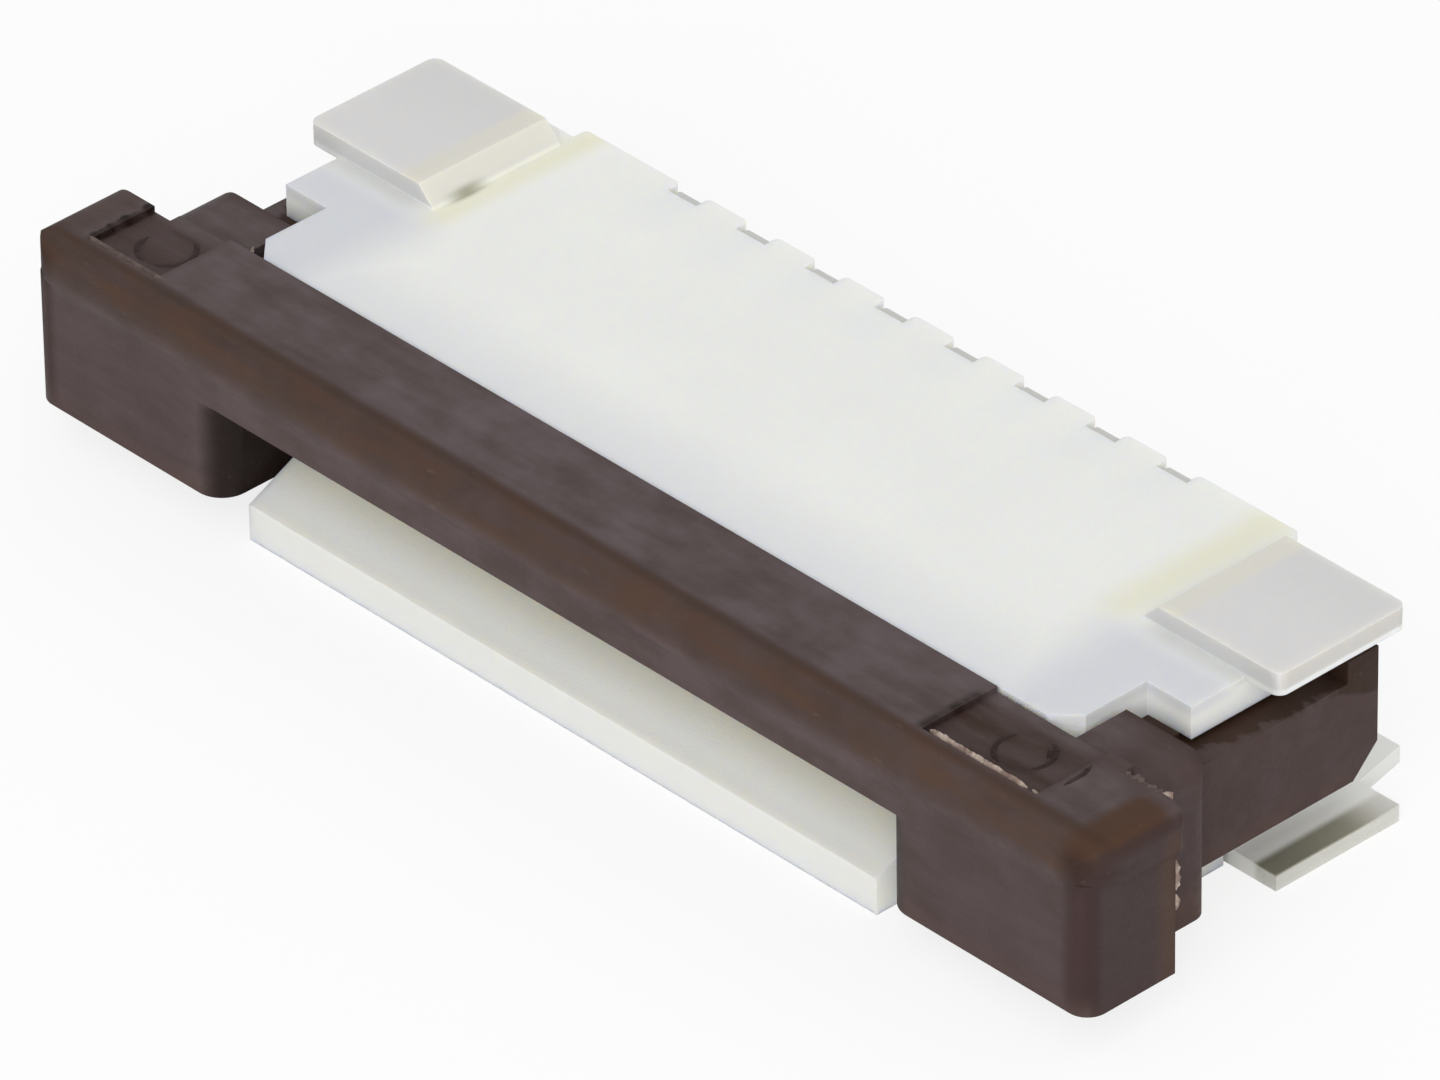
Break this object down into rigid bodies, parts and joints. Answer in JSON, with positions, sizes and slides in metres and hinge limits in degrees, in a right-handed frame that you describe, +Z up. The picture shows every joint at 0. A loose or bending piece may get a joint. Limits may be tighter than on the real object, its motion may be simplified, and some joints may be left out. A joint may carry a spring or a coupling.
{
  "type": "fpc connector",
  "caption": "Low right-angle board connector for a flat flexible cable, with a brown sliding lock across the front of an ivory housing and solder tails behind.",
  "frame": {"origin": "on the board's surface, under the middle of the housing", "axes": "+X along the row of contacts, -Y towards the side that the cable enters, +Z up from the board"},
  "size_m": [0.0154, 0.0061, 0.0026],
  "materials": {
    "natural_nylon": "satin",
    "brown_pps": "satin",
    "tinned_bronze": "satin"
  },
  "bodies": {
    "base": {"housing": "natural_nylon", "terminal_1": "tinned_bronze", "terminal_2": "tinned_bronze", "terminal_3": "tinned_bronze", "terminal_4": "tinned_bronze", "terminal_5": "tinned_bronze", "terminal_6": "tinned_bronze", "terminal_7": "tinned_bronze", "terminal_8": "tinned_bronze", "fitting_nail_left": "tinned_bronze", "fitting_nail_right": "tinned_bronze"},
    "lock": {"slider": "brown_pps"}
  },
  "joints": [
    {"name": "lock_slide", "type": "slide", "parent": "base", "child": "lock", "axis": [0, -1, 0], "range_m": [0, 0.0012]}
  ]
}
